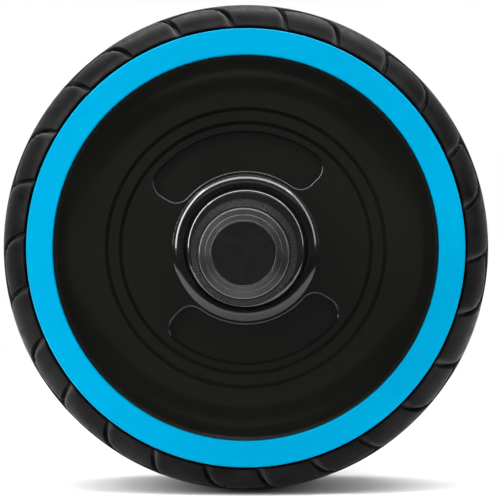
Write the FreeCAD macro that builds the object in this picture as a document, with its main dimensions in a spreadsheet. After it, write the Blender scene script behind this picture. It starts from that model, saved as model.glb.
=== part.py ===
"""Ab wheel roller: a wide rubber-tyred wheel on ball bearings between two straight handles.

Millimetres. The origin is the middle of the wheel, the axle lies along Y and +Z is up.
Each side piece is drawn on the left (+Y) with its outer end towards +Y, and the right one is
the same piece turned half a turn about Z.
"""
import FreeCAD, Part
import math
import os
import Sketcher

SIZES = {
    # Fits and cuts
    "fit_gap": 0.03,                  # between pieces that are pressed or clamped together
    "running_gap": 0.06,              # round a ball in its track and its cage
    "cut_overrun": 3.0,               # how far a cutter reaches past what it cuts
    # Tyre
    "tyre_radius": 92.5,              # at the middle of the tread
    "crown_half_width": 29.5,         # flat part of the tread, each side of the middle
    "crown_radius": 320.0,            # bow of the tread across its width
    "shoulder_radius": 15.5,
    "bead_drop": 10.3,                # from the tread in to the opening in each side
    "bead_edge_radius": 0.8,
    "tread_groove_width": 2.8,        # at the surface
    "tread_groove_floor": 1.5,        # at the bottom
    "tread_groove_depth": 2.4,
    "lug_pairs": 13,                  # long and short groove by turns round each shoulder
    "tread_turn": 107.0,              # degrees from +X to the first long groove, right side
    # Drum that carries the tyre
    "tread_thickness": 7.0,           # of the rubber between the tread and the drum
    "drum_end_length": 8.0,           # sloping end on each side of the flat part
    "drum_end_gap": 0.3,              # to the tyre's opening
    "bead_reach": 5.144,              # how far the tyre's side stands out past the drum
    "drum_wall": 3.0,
    "drum_flange_width": 11.4,
    "drum_flange_thickness": 3.5,
    "screw_post_floor": 2.0,          # behind the end of each screw hole
    # Side dish
    "dish_wall": 3.0,
    "dish_flange_gap": 0.6,           # to the tyre's opening
    "dish_flange_thickness": 4.0,
    "dish_depth": 5.4,                # from the accent ring's face down to the floor
    "floor_share": 0.4383,            # of the way from the boss to the lip
    "step_width": 1.4,
    "step_height": 0.8,               # of each of the two steps up from the floor
    "terrace_share": 0.5566,          # same, where the second step starts
    "bowl_share": 0.654,              # same, where the bowl starts to rise
    "dish_lip_width": 1.4,
    "dish_lip_drop": 1.4,             # below the accent ring's face
    "dish_lip_round": 0.4,
    "kidney_inner_share": 0.0899,     # of the way across the floor from the boss
    "kidney_outer_share": 0.8466,
    "kidney_span": 104.0,             # degrees from end to end
    "kidney_turn": 6.2,               # degrees that the pair leans from upright
    "kidney_depth": 2.2,
    "kidney_corner_share": 0.39,      # of the kidney's width
    "kidney_edge_radius": 0.7,
    "boss_wall": 4.3,
    "boss_slope_width": 3.8,          # bowed slope from the boss's lip out to its side
    "boss_slope_drop": 1.5,
    "boss_side_round": 0.3,
    "boss_foot_round": 0.25,
    "boss_lip_round": 0.4,
    "flange_side_gap": 0.6,           # round the handle's flange in the boss
    "boss_recess_depth": 6.4,
    "neck_gap": 2.0,                  # round the handle's neck in the boss
    "hub_wall": 4.5,
    "hub_overhang": 0.8,              # past the inner face of the bearing
    "rib_count": 6,
    "rib_thickness": 2.4,
    "rib_height": 7.0,
    "rib_share": 0.8128,              # of the way from the boss to the lip
    # Accent ring
    "ring_gap": 0.75,                 # to the tyre's opening
    "ring_width": 9.8,
    "ring_thickness": 2.6,
    "ring_edge_round": 0.5,
    "ring_skirt_inset": 0.4,
    "ring_skirt_width": 1.3,
    "ring_skirt_depth": 1.4,
    # Screws of the side dishes
    "rim_screw_count": 6,
    "rim_screw_radius": 1.75,
    "rim_screw_length": 12.0,
    "rim_screw_head_radius": 3.2,
    "rim_screw_head_height": 2.3,
    "rim_screw_slot": 0.9,
    "rim_screw_room": 0.3,            # round the head and below the accent ring
    # Ball bearings
    "bearing_radius": 14.0,
    "bearing_width": 8.0,
    "ball_radius": 2.381,
    "ball_count": 8,
    "land_rise": 1.9,                 # from the ball circle to the edge of each track
    "cage_half_thickness": 0.9,
    "cage_half_width": 3.1,
    "seal_thickness": 0.5,
    "seal_inset": 0.2,
    "seal_gap": 0.35,
    # Axle
    "axle_radius": 6.0,
    "axle_chamfer": 0.8,
    "axle_end_gap": 1.0,              # to the screw washer, so that the screw clamps the handle
    "axle_tap_depth": 20.0,
    "bearing_set_back": 12.2,         # from the dish floor in to the bearing's inner face
    "spacer_wall": 1.9,
    "thrust_washer_thickness": 2.0,
    "washer_reach": 0.3,              # past the land of the inner race
    # Handle
    "neck_wall": 3.0,
    "neck_length": 3.2,
    "flange_radius": 22.2,
    "flange_thickness": 6.2,
    "flange_round": 1.8,
    "flange_recess_gap": 0.8,         # from the flange's back to the floor of the boss recess
    "collar_radius": 16.2,
    "collar_length": 3.8,
    "core_wall": 2.9,                 # round the screw's socket
    "core_socket_radius": 8.6,
    "core_socket_depth": 13.0,
    "grip_length": 114.0,
    "grip_radius": 17.5,
    "grip_bead_height": 1.2,
    "grip_bead_width": 3.5,
    "grip_bead_slope": 3.5,
    "grip_bead_round": 1.4,
    "grip_taper_length": 15.0,
    "grip_end_draw": 2.2,             # how far the end draws in
    # Screw in the end of the axle
    "handle_screw_radius": 3.0,
    "handle_screw_length": 16.0,
    "handle_screw_head_radius": 5.0,
    "handle_screw_head_height": 3.4,
    "handle_screw_socket_radius": 2.3,
    "handle_screw_socket_depth": 1.9,
    "screw_washer_room": 0.4,         # round the washer in its socket
    "screw_washer_thickness": 1.6,
    # End cap
    "cap_plug_length": 5.5,
    "cap_plug_gap": 0.1,
    "cap_inset": 0.6,                 # from the end of the grip
    "cap_edge_height": 4.55,          # from the end of the grip
    "cap_edge_round": 0.7,
    "cap_lower_width": 2.1,           # sloping band next to the edge
    "cap_lower_rise": 0.85,
    "cap_step_height": 0.5,           # between the two bands
    "cap_upper_width": 1.7,
    "cap_upper_rise": 0.7,
    "cap_lip_height": 0.4,
    "cap_lip_width": 0.72,
    "cap_ridge_round": 0.3,
    "disc_thickness": 1.0,
    "disc_drop": 0.25,                # below the cap's lip
    "disc_edge_round": 0.2,
}

# Middle line of the long groove of one lug pair: along the tread in shares of a lug's pitch,
# over the shoulder in shares of its arc, then over the crown in shares of the flat part.
LONG_GROOVE_SHARES = [
    (-0.02, -0.12, 0.0), (0.0, 0.0, 0.0), (0.07, 0.34, 0.0), (0.16, 0.64, 0.0), (0.28, 0.85, 0.0),
    (0.42, 1.0, 0.02), (0.76, 1.0, 0.24), (1.2, 1.0, 0.54), (1.68, 1.0, 0.88),
]
# Middle line of the short groove, which hooks over its lug and ends in the next long groove.
SHORT_GROOVE_SHARES = [
    (-0.03, -0.12, 0.0), (0.0, 0.0, 0.0), (0.06, 0.23, 0.0), (0.14, 0.44, 0.0), (0.25, 0.64, 0.0),
    (0.38, 0.84, 0.0), (0.54, 0.92, 0.0), (0.72, 0.89, 0.0), (0.92, 0.79, 0.0), (1.165, 0.655, 0.0),
]

doc = FreeCAD.newDocument("ab_wheel_roller")
sheet = doc.addObject("Spreadsheet::Sheet", "Sizes")
for row, (alias, number) in enumerate(SIZES.items(), 1):
    sheet.set(f"A{row}", alias.replace("_", " "))
    sheet.set(f"B{row}", str(number))
    sheet.setAlias(f"B{row}", alias)
doc.recompute()


class Size:
    """A number together with the sheet expression that gives it."""

    def __init__(self, value, text):
        self.value = value
        self.text = text

    def __add__(self, other):
        other = as_size(other)
        return Size(self.value + other.value, f"({self.text} + {other.text})")

    def __sub__(self, other):
        other = as_size(other)
        return Size(self.value - other.value, f"({self.text} - {other.text})")

    def __mul__(self, other):
        other = as_size(other)
        return Size(self.value * other.value, f"({self.text} * {other.text})")

    def __truediv__(self, other):
        other = as_size(other)
        return Size(self.value / other.value, f"({self.text} / {other.text})")

    def __neg__(self):
        return Size(-self.value, f"(-{self.text})")

    def root(self):
        return Size(math.sqrt(self.value), f"sqrt({self.text})")


def as_size(number):
    return number if isinstance(number, Size) else Size(number, str(number))


class Sheet:
    """The named sizes of the sheet as attributes."""


size = Sheet()
for alias in SIZES:
    setattr(size, alias, Size(sheet.get(alias), f"Sizes.{alias}"))

ZERO = as_size(0)
AXLE_LINE = FreeCAD.Vector(0, 1, 0)
HALF_TURN = FreeCAD.Placement(FreeCAD.Vector(), FreeCAD.Rotation(FreeCAD.Vector(0, 0, 1), 180))
SIDES = {"left": FreeCAD.Placement(), "right": HALF_TURN}

# Section of the tyre.
bead_radius = size.tyre_radius - size.bead_drop
crown_edge_radius = (
    size.tyre_radius - size.crown_radius
    + (size.crown_radius * size.crown_radius - size.crown_half_width * size.crown_half_width).root()
)
crown_edge_sine = size.crown_half_width / size.crown_radius
crown_edge_cosine = (as_size(1) - crown_edge_sine * crown_edge_sine).root()
shoulder_centre_radius = crown_edge_radius - size.shoulder_radius * crown_edge_cosine
shoulder_centre_place = size.crown_half_width - size.shoulder_radius * crown_edge_sine
bead_rise = bead_radius - shoulder_centre_radius
bead_place = shoulder_centre_place + (
    size.shoulder_radius * size.shoulder_radius - bead_rise * bead_rise
).root()

# Places along the axle, measured outwards from the middle of the wheel.
drum_half_width = bead_place - size.bead_reach
drum_flat_half_width = drum_half_width - size.drum_end_length
ring_seat = drum_half_width + size.dish_flange_thickness
ring_face = ring_seat + size.ring_thickness
floor_place = ring_face - size.dish_depth
first_terrace = floor_place + size.step_height
second_terrace = first_terrace + size.step_height
dish_back = floor_place - size.dish_wall
dish_lip_top = ring_face - size.dish_lip_drop
rim_screw_seat = ring_seat - size.rim_screw_head_height - size.rim_screw_room
bearing_start = floor_place - size.bearing_set_back
bearing_end = bearing_start + size.bearing_width
bearing_middle = bearing_start + size.bearing_width / 2
core_start = bearing_end + size.thrust_washer_thickness
flange_start = core_start + size.neck_length
flange_end = flange_start + size.flange_thickness
recess_floor = flange_start - size.flange_recess_gap
boss_top = recess_floor + size.boss_recess_depth
boss_shoulder = boss_top - size.boss_slope_drop
grip_start = flange_end + size.collar_length
core_end = grip_start + size.grip_length
screw_seat = core_end - size.core_socket_depth
axle_end = screw_seat - size.axle_end_gap

# Radii of the wheel, from the drum in to the bearings.
drum_radius = size.tyre_radius - size.tread_thickness
drum_end_radius = bead_radius - size.drum_end_gap
drum_flange_radius = drum_end_radius - size.drum_flange_width
dish_flange_radius = bead_radius - size.dish_flange_gap
ring_outer_radius = bead_radius - size.ring_gap
ring_inner_radius = ring_outer_radius - size.ring_width
skirt_inner_radius = ring_inner_radius + size.ring_skirt_inset
skirt_outer_radius = skirt_inner_radius + size.ring_skirt_width
rim_screw_circle = (skirt_outer_radius + dish_flange_radius) / 2
screw_post_radius = drum_end_radius - rim_screw_circle - size.fit_gap
screw_post_length = size.rim_screw_length + size.screw_post_floor
dish_lip_outer = ring_inner_radius - size.fit_gap
dish_lip_inner = dish_lip_outer - size.dish_lip_width
boss_recess_radius = size.flange_radius + size.flange_side_gap
boss_radius = boss_recess_radius + size.boss_wall
bowl_start_radius = boss_radius + (dish_lip_inner - boss_radius) * size.bowl_share
terrace_radius = boss_radius + (dish_lip_inner - boss_radius) * size.terrace_share
floor_radius = boss_radius + (dish_lip_inner - boss_radius) * size.floor_share
rib_outer_radius = boss_radius + (dish_lip_inner - boss_radius) * size.rib_share
kidney_inner_radius = boss_radius + (floor_radius - boss_radius) * size.kidney_inner_share
kidney_outer_radius = boss_radius + (floor_radius - boss_radius) * size.kidney_outer_share
kidney_corner_radius = (kidney_outer_radius - kidney_inner_radius) * size.kidney_corner_share
hub_radius = size.bearing_radius + size.hub_wall
ball_circle = (size.bearing_radius + size.axle_radius) / 2
inner_land_radius = ball_circle - size.land_rise
outer_land_radius = ball_circle + size.land_rise
track_radius = size.ball_radius + size.running_gap
thrust_washer_radius = inner_land_radius + size.washer_reach

# Radii of the handle, from the axle out and then towards its end.
neck_radius = size.axle_radius + size.neck_wall
boss_bore_radius = neck_radius + size.neck_gap
core_radius = size.core_socket_radius + size.core_wall
screw_washer_radius = size.core_socket_radius - size.screw_washer_room
grip_bead_radius = size.grip_radius + size.grip_bead_height
grip_end_radius = size.grip_radius - size.grip_end_draw
cap_radius = grip_end_radius - size.cap_inset
cap_step_radius = cap_radius - size.cap_lower_width
cap_lip_radius = cap_step_radius - size.cap_upper_width
disc_radius = cap_lip_radius - size.cap_lip_width


def attach(sketch, body, role, offset=None):
    """Lays a sketch on one of its body's own planes, lifted by the offset along the normal."""
    plane = next(item for item in body.Origin.OriginFeatures if item.Role == role)
    sketch.AttachmentSupport = [(plane, "")]
    sketch.MapMode = "FlatFace"
    if offset is not None:
        sketch.setExpression("AttachmentOffset.Base.z", offset.text)


def new_body(name):
    return doc.addObject("PartDesign::Body", name)


def new_sketch(body, name, role, offset=None):
    sketch = body.newObject("Sketcher::SketchObject", name)
    attach(sketch, body, role, offset)
    return sketch


def constrain(sketch, wanted, length):
    """Adds a measured constraint and binds it to the sheet."""
    index = sketch.addConstraint(Sketcher.Constraint(*wanted, length.value))
    sketch.setExpression(f"Constraints[{index}]", length.text)


def pin_point(sketch, edge, end, across, up):
    """Places one end of a sketch edge by its two distances from the sketch's origin."""
    for kind, length, axis in (("DistanceX", across, -2), ("DistanceY", up, -1)):
        if length.value > 0:
            constrain(sketch, (kind, -1, 1, edge, end), length)
        elif length.value < 0:
            constrain(sketch, (kind, edge, end, -1, 1), -length)
        else:
            sketch.addConstraint(Sketcher.Constraint("PointOnObject", edge, end, axis))


def arc_between(start, finish, radius, hand):
    """Arc of under half a circle: hand 1 turns left on the way from start to finish, -1 right."""
    chord = finish - start
    left = FreeCAD.Vector(-chord.y, chord.x, 0).normalize()
    rise = math.sqrt(radius ** 2 - (chord.Length / 2) ** 2)
    centre = start + chord * 0.5 + left * (rise * hand)
    first, last = (start, finish) if hand > 0 else (finish, start)
    angles = [math.atan2(point.y - centre.y, point.x - centre.x) for point in (first, last)]
    circle = Part.Circle(centre, FreeCAD.Vector(0, 0, 1), radius)
    return Part.ArcOfCircle(circle, *angles)


def draw_outline(sketch, corners):
    """Closed outline. A corner (across, up, (radius, hand)) bends the run after it into an arc."""
    places = [FreeCAD.Vector(corner[0].value, corner[1].value, 0) for corner in corners]
    runs = []
    for index, corner in enumerate(corners):
        start, finish = places[index], places[(index + 1) % len(corners)]
        if len(corner) == 2:
            runs.append((sketch.addGeometry(Part.LineSegment(start, finish)), 1, 2))
            continue
        radius, hand = corner[2]
        arc = sketch.addGeometry(arc_between(start, finish, radius.value, hand))
        runs.append((arc, 1, 2) if hand > 0 else (arc, 2, 1))
    for index, corner in enumerate(corners):
        edge, first, last = runs[index]
        following, following_first, _ = runs[(index + 1) % len(corners)]
        sketch.addConstraint(Sketcher.Constraint("Coincident", edge, last, following, following_first))
        pin_point(sketch, edge, first, corner[0], corner[1])
        if len(corner) == 3:
            constrain(sketch, ("Radius", edge), corner[2][0])


def turned_body(name, corners):
    """A piece turned about the axle: corners are (radius, place along the axle)."""
    body = new_body(name)
    sketch = new_sketch(body, name + "_section", "XY_Plane")
    draw_outline(sketch, corners)
    turning = body.newObject("PartDesign::Revolution", name + "_turning")
    turning.Profile = sketch
    turning.ReferenceAxis = (sketch, ["V_Axis"])
    turning.Angle = 360
    doc.recompute()
    return body


def ring_edges(shape, rings):
    """Names of the round edges about the axle that have these radii and places."""
    names = []
    for index, edge in enumerate(shape.Edges, 1):
        if not isinstance(edge.Curve, Part.Circle):
            continue
        centre, radius = edge.Curve.Center, edge.Curve.Radius
        slack = radius * 1e-6
        if math.hypot(centre.x, centre.z) > slack:
            continue
        for ring_radius, place in rings:
            if abs(radius - ring_radius.value) < slack and abs(centre.y - place.value) < slack:
                names.append(f"Edge{index}")
    return names


def round_edges(body, edges, radius):
    """Rounds the named edges of the body as it stands."""
    base = body.Tip
    rounding = body.newObject("PartDesign::Fillet", body.Name + "_rounding")
    rounding.Base = (base, edges)
    rounding.setExpression("Radius", radius.text)
    doc.recompute()


def round_rings(body, rings, radius):
    round_edges(body, ring_edges(body.Tip.Shape, rings), radius)


def extrude(body, kind, sketch, length, reverse=False, symmetric=False):
    """A Pad or Pocket of the sketch, which must change the body's volume."""
    before = body.Tip.Shape.Volume
    feature = body.newObject(f"PartDesign::{kind}", f"{sketch.Name}_{kind.lower()}")
    feature.Profile = sketch
    feature.setExpression("Length", length.text)
    feature.Reversed = reverse
    if symmetric:
        feature.SideType = "Symmetric"
    doc.recompute()
    change = body.Tip.Shape.Volume - before
    if (kind == "Pad") != (change > 0) or change == 0:
        raise RuntimeError(f"{feature.Name} changed the volume by {change}")
    return feature


def pattern_round_axle(body, features, count):
    """Repeats features of the body evenly round the axle."""
    axis = next(item for item in body.Origin.OriginFeatures if item.Role == "Y_Axis")
    pattern = body.newObject("PartDesign::PolarPattern", features[0].Name + "_round")
    pattern.Originals = features
    pattern.Axis = (axis, [""])
    pattern.Angle = 360
    pattern.setExpression("Occurrences", count.text)
    body.Tip = pattern
    doc.recompute()


def circle_sketch(body, name, across, up, radius, place):
    """A circle on a plane square to the axle, at this place along it."""
    sketch = new_sketch(body, name, "XZ_Plane", -place)
    centre = FreeCAD.Vector(across.value, up.value, 0)
    circle = sketch.addGeometry(Part.Circle(centre, FreeCAD.Vector(0, 0, 1), radius.value))
    constrain(sketch, ("Radius", circle), radius)
    pin_point(sketch, circle, 3, across, up)
    return sketch


def copies_round_axle(name, shape, count):
    """Copies of a solid, evenly spaced round the axle, as one group."""
    group = doc.addObject("Part::Feature", name)
    copies = []
    for index in range(int(count.value)):
        turn = FreeCAD.Rotation(AXLE_LINE, 360 * index / count.value)
        copies.append(shape.transformed(FreeCAD.Placement(FreeCAD.Vector(), turn).toMatrix()))
    group.Shape = Part.makeCompound(copies)
    return group


# Tyre

def tyre_blank():
    """The tyre before its grooves: bowed tread, round shoulders and a bore that fits the drum."""
    bore = drum_radius + size.fit_gap
    slope = (drum_half_width - drum_flat_half_width) / (drum_radius - drum_end_radius)
    seat = drum_flat_half_width + (bore - bead_radius) * slope
    shoulder = (size.shoulder_radius, 1)
    body = turned_body("tyre_blank", [
        (bore, -drum_flat_half_width),
        (bead_radius, -seat),
        (bead_radius, -bead_place, shoulder),
        (crown_edge_radius, -size.crown_half_width, (size.crown_radius, 1)),
        (crown_edge_radius, size.crown_half_width, shoulder),
        (bead_radius, bead_place),
        (bead_radius, seat),
        (bore, drum_flat_half_width),
    ])
    edges = [(bead_radius, bead_place), (bead_radius, -bead_place)]
    round_rings(body, edges, size.bead_edge_radius)
    return body


def tread_frame(along, shoulder_share, crown_share):
    """Point of the right half of the tread and the outward direction there."""
    bead_angle = math.acos(bead_rise.value / size.shoulder_radius.value)
    edge_angle = math.asin(crown_edge_sine.value)
    angle = bead_angle + (edge_angle - bead_angle) * shoulder_share
    radius = shoulder_centre_radius.value + size.shoulder_radius.value * math.cos(angle)
    place = shoulder_centre_place.value + size.shoulder_radius.value * math.sin(angle)
    if crown_share > 0:
        angle = edge_angle * (1 - crown_share)
        drop = size.crown_radius.value * (1 - math.cos(angle))
        radius = size.tyre_radius.value - drop
        place = size.crown_radius.value * math.sin(angle)
    turn = math.radians(size.tread_turn.value) + along / size.tyre_radius.value
    spoke = FreeCAD.Vector(math.cos(turn), 0, math.sin(turn))
    outward = spoke * math.cos(angle) - AXLE_LINE * math.sin(angle)
    return spoke * radius - AXLE_LINE * place, outward


def groove_solid(shares, start):
    """Cutter of one groove: a tapered section swept along the groove's middle line."""
    pitch = 2 * math.pi * size.tyre_radius.value / (2 * size.lug_pairs.value)
    frames = [tread_frame((start + row[0]) * pitch, row[1], row[2]) for row in shares]
    depth = size.tread_groove_depth.value
    overrun = size.cut_overrun.value
    floor_half = size.tread_groove_floor.value / 2
    surface_half = size.tread_groove_width.value / 2
    top_half = surface_half + (surface_half - floor_half) * overrun / depth
    sections = []
    for index, (point, outward) in enumerate(frames):
        before = frames[max(index - 1, 0)][0]
        after = frames[min(index + 1, len(frames) - 1)][0]
        side = outward.cross(after - before).normalize()
        floor, top = point - outward * depth, point + outward * overrun
        corners = [floor - side * floor_half, floor + side * floor_half,
                   top + side * top_half, top - side * top_half]
        sections.append(Part.makePolygon(corners + corners[:1]))
    return Part.makeLoft(sections, True, False)


def groove_ring(name, shares, start):
    """One groove repeated round both shoulders, the left half a lug pair behind the right."""
    right = groove_solid(shares, start)
    half_step = FreeCAD.Rotation(AXLE_LINE, 180 / size.lug_pairs.value)
    left = right.mirror(FreeCAD.Vector(), AXLE_LINE)
    left = left.transformed(FreeCAD.Placement(FreeCAD.Vector(), half_step).toMatrix())
    return copies_round_axle(name, Part.makeCompound([right, left]), size.lug_pairs)


def cut(name, base, tool):
    piece = doc.addObject("Part::Cut", name)
    piece.Base = base
    piece.Tool = tool
    doc.recompute()
    return piece


def tyre(name):
    long_cut = cut("tyre_long_cut", tyre_blank(), groove_ring("long_grooves", LONG_GROOVE_SHARES, 0))
    return cut(name, long_cut, groove_ring("short_grooves", SHORT_GROOVE_SHARES, -1))


# Wheel body

def rim_drum(name):
    """Plastic barrel with a flange at each end and a post behind each screw."""
    inner = drum_radius - size.drum_wall
    slant = drum_end_radius - size.drum_wall / 2
    flange_back = drum_half_width - size.drum_flange_thickness
    half = [
        (drum_radius, drum_flat_half_width),
        (drum_end_radius, drum_half_width),
        (drum_flange_radius, drum_half_width),
        (drum_flange_radius, flange_back),
        (slant, flange_back),
        (inner, drum_flat_half_width),
    ]
    other_half = [(radius, -place) for radius, place in reversed(half)]
    body = turned_body(name, half + other_half)
    depth = size.rim_screw_length
    for side, place in (("left", drum_half_width), ("right", -drum_half_width)):
        post = circle_sketch(body, f"{side}_post", rim_screw_circle, ZERO,
                             screw_post_radius, place)
        pad = extrude(body, "Pad", post, screw_post_length, reverse=side == "right")
        pattern_round_axle(body, [pad], size.rim_screw_count)
        pilot = circle_sketch(body, f"{side}_pilot", rim_screw_circle, ZERO,
                              size.rim_screw_radius + size.fit_gap, place)
        pocket = extrude(body, "Pocket", pilot, depth, reverse=side == "left")
        pattern_round_axle(body, [pocket], size.rim_screw_count)
    return body


def dish_section():
    """Half section of a side dish: hub, back, flange, lip, bowl, steps, floor and boss."""
    bowl_run = dish_lip_inner - bowl_start_radius
    bowl_rise = dish_lip_top - second_terrace
    bowl_radius = (bowl_run * bowl_run + bowl_rise * bowl_rise) / (bowl_rise * 2)
    slope_run, slope_drop = size.boss_slope_width, size.boss_slope_drop
    slope_radius = (slope_run * slope_run + slope_drop * slope_drop) / (slope_drop * 2)
    groove_floor = ring_seat - size.ring_skirt_depth - size.fit_gap
    return [
        (size.bearing_radius + size.fit_gap, bearing_start - size.hub_overhang),
        (hub_radius, bearing_start - size.hub_overhang),
        (hub_radius, dish_back),
        (floor_radius, dish_back),
        (bowl_start_radius, second_terrace - size.dish_wall),
        (drum_flange_radius - size.dish_lip_width, drum_half_width),
        (dish_flange_radius, drum_half_width),
        (dish_flange_radius, ring_seat),
        (skirt_outer_radius + size.fit_gap, ring_seat),
        (skirt_outer_radius + size.fit_gap, groove_floor),
        (skirt_inner_radius - size.fit_gap, groove_floor),
        (skirt_inner_radius - size.fit_gap, ring_seat),
        (dish_lip_outer, ring_seat),
        (dish_lip_outer, dish_lip_top),
        (dish_lip_inner, dish_lip_top, (bowl_radius, -1)),
        (bowl_start_radius, second_terrace),
        (terrace_radius + size.step_width, second_terrace),
        (terrace_radius, first_terrace),
        (floor_radius + size.step_width, first_terrace),
        (floor_radius, floor_place),
        (boss_radius, floor_place),
        (boss_radius, boss_shoulder, (slope_radius, 1)),
        (boss_radius - slope_run, boss_top),
        (boss_recess_radius, boss_top),
        (boss_recess_radius, recess_floor),
        (boss_bore_radius, recess_floor),
        (boss_bore_radius, bearing_end),
        (size.bearing_radius + size.fit_gap, bearing_end),
    ]


def kidney_sketch(body):
    """A stretch of ring on the dish floor, leaning from upright by the kidney's turn."""
    sketch = new_sketch(body, body.Name + "_kidney", "XZ_Plane", -floor_place)
    upright = as_size(90) - size.kidney_turn
    angles = [upright - size.kidney_span / 2, upright + size.kidney_span / 2]
    radii = [kidney_inner_radius, kidney_outer_radius]
    arcs = []
    for radius in radii:
        circle = Part.Circle(FreeCAD.Vector(), FreeCAD.Vector(0, 0, 1), radius.value)
        turns = [math.radians(angle.value) for angle in angles]
        arcs.append(sketch.addGeometry(Part.ArcOfCircle(circle, *turns)))
        sketch.addConstraint(Sketcher.Constraint("Coincident", arcs[-1], 3, -1, 1))
        constrain(sketch, ("Radius", arcs[-1]), radius)
    for end, angle in enumerate(angles, 1):
        spoke = FreeCAD.Vector(math.cos(math.radians(angle.value)), math.sin(math.radians(angle.value)), 0)
        line = sketch.addGeometry(Part.LineSegment(spoke * radii[0].value, spoke * radii[1].value))
        sketch.addConstraint(Sketcher.Constraint("Coincident", line, 1, arcs[0], end))
        sketch.addConstraint(Sketcher.Constraint("Coincident", line, 2, arcs[1], end))
        sketch.addConstraint(Sketcher.Constraint("PointOnObject", -1, 1, line))
        index = sketch.addConstraint(
            Sketcher.Constraint("Angle", -1, 1, line, 1, math.radians(angle.value)))
        sketch.setExpression(f"Constraints[{index}]", f"{angle.text} * 1 deg")
    return sketch


def kidney_corner_edges(shape):
    """The short straight edges along the axle at the corners of the kidney pockets."""
    names = []
    radii = (kidney_inner_radius.value, kidney_outer_radius.value)
    for index, edge in enumerate(shape.Edges, 1):
        if not isinstance(edge.Curve, Part.Line):
            continue
        first, last = [vertex.Point for vertex in edge.Vertexes]
        along_axle = abs(abs(last.y - first.y) - edge.Length) < edge.Length * 1e-6
        from_axle = math.hypot(first.x, first.z)
        if along_axle and any(abs(from_axle - radius) < radius * 1e-6 for radius in radii):
            names.append(f"Edge{index}")
    return names


def kidney_rim_edges(shape):
    """The edges where the kidney pockets break the dish floor."""
    names = []
    for index, edge in enumerate(shape.Edges, 1):
        points = [edge.valueAt(edge.FirstParameter), edge.valueAt(edge.LastParameter)]
        slack = floor_place.value * 1e-6
        level = all(abs(point.y - floor_place.value) < slack for point in points)
        spans = [math.hypot(point.x, point.z) for point in points]
        inside = all(boss_radius.value < span < floor_radius.value for span in spans)
        whole_ring = isinstance(edge.Curve, Part.Circle) and edge.isClosed()
        if level and inside and not whole_ring:
            names.append(f"Edge{index}")
    return names


def side_dish(name):
    """Glossy side cover with its bearing seat, screw holes, ribs and two kidney pockets."""
    body = turned_body(name, dish_section())
    round_rings(body, [(boss_radius, boss_shoulder)], size.boss_side_round)
    round_rings(body, [(boss_recess_radius, boss_top)], size.boss_lip_round)
    round_rings(body, [(boss_radius, floor_place)], size.boss_foot_round)
    round_rings(body, [(dish_lip_outer, dish_lip_top)], size.dish_lip_round)
    pocket = extrude(body, "Pocket", kidney_sketch(body), size.kidney_depth, reverse=True)
    pattern_round_axle(body, [pocket], as_size(2))
    round_edges(body, kidney_corner_edges(body.Tip.Shape), kidney_corner_radius)
    round_edges(body, kidney_rim_edges(body.Tip.Shape), size.kidney_edge_radius)
    head = circle_sketch(body, name + "_head_hole", rim_screw_circle, ZERO,
                         size.rim_screw_head_radius + size.rim_screw_room, ring_seat)
    head_hole = extrude(body, "Pocket", head, ring_seat - rim_screw_seat, reverse=True)
    shank = circle_sketch(body, name + "_shank_hole", rim_screw_circle, ZERO,
                          size.rim_screw_radius + size.rim_screw_room, ring_seat)
    shank_hole = extrude(body, "Pocket", shank, size.dish_flange_thickness, reverse=True)
    pattern_round_axle(body, [head_hole, shank_hole], size.rim_screw_count)
    rib = new_sketch(body, name + "_rib", "XY_Plane")
    rib_root = dish_back + (size.dish_wall - size.kidney_depth) / 2
    hub_middle = (hub_radius + size.bearing_radius) / 2
    draw_outline(rib, [
        (hub_middle, dish_back - size.rib_height),
        (floor_radius, dish_back - size.rib_height),
        (rib_outer_radius, dish_back),
        (rib_outer_radius, second_terrace - size.dish_wall / 2),
        (floor_radius, rib_root),
        (hub_middle, rib_root),
    ])
    pad = extrude(body, "Pad", rib, size.rib_thickness, symmetric=True)
    pattern_round_axle(body, [pad], size.rib_count)
    return body


def accent_ring(name):
    """Flat coloured ring with a skirt that presses into the dish."""
    back = ring_seat + size.fit_gap
    body = turned_body(name, [
        (ring_inner_radius, ring_face),
        (ring_inner_radius, back),
        (skirt_inner_radius, back),
        (skirt_inner_radius, ring_seat - size.ring_skirt_depth),
        (skirt_outer_radius, ring_seat - size.ring_skirt_depth),
        (skirt_outer_radius, back),
        (ring_outer_radius, back),
        (ring_outer_radius, ring_face),
    ])
    edges = [(ring_inner_radius, ring_face), (ring_outer_radius, ring_face)]
    round_rings(body, edges, size.ring_edge_round)
    return body


def box_along_axle(name, width, height, start, length):
    """A bar along the axle line, centred on it across its section."""
    box = doc.addObject("Part::Box", name)
    for field, value in (("Length", width), ("Width", length), ("Height", height)):
        box.setExpression(field, value.text)
    for field, value in (("x", -width / 2), ("y", start), ("z", -height / 2)):
        box.setExpression(f"Placement.Base.{field}", value.text)
    return box


def rim_screws(name):
    """Cross-slotted pan head screws on the screw circle, each with its head on the dish flange."""
    head_top = rim_screw_seat + size.rim_screw_head_height
    tip = rim_screw_seat - size.rim_screw_length
    screw = turned_body(name + "_screw", [
        (ZERO, tip),
        (size.rim_screw_radius, tip + size.rim_screw_radius),
        (size.rim_screw_radius, rim_screw_seat),
        (size.rim_screw_head_radius, rim_screw_seat),
        (size.rim_screw_head_radius, head_top - size.rim_screw_slot),
        (size.rim_screw_radius, head_top),
        (ZERO, head_top),
    ])
    slot_start = rim_screw_seat + size.rim_screw_head_height / 2
    for letter, width, height in (("a", size.rim_screw_head_radius, size.rim_screw_slot),
                                  ("b", size.rim_screw_slot, size.rim_screw_head_radius)):
        slot = box_along_axle(f"{name}_slot_{letter}", width, height, slot_start, size.cut_overrun)
        screw = cut(f"{name}_slotted_{letter}", screw, slot)
    place = FreeCAD.Vector(rim_screw_circle.value, 0, 0)
    shape = screw.Shape.transformed(FreeCAD.Placement(place, FreeCAD.Rotation()).toMatrix())
    return copies_round_axle(name, shape, size.rim_screw_count)


# Ball bearings

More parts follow.
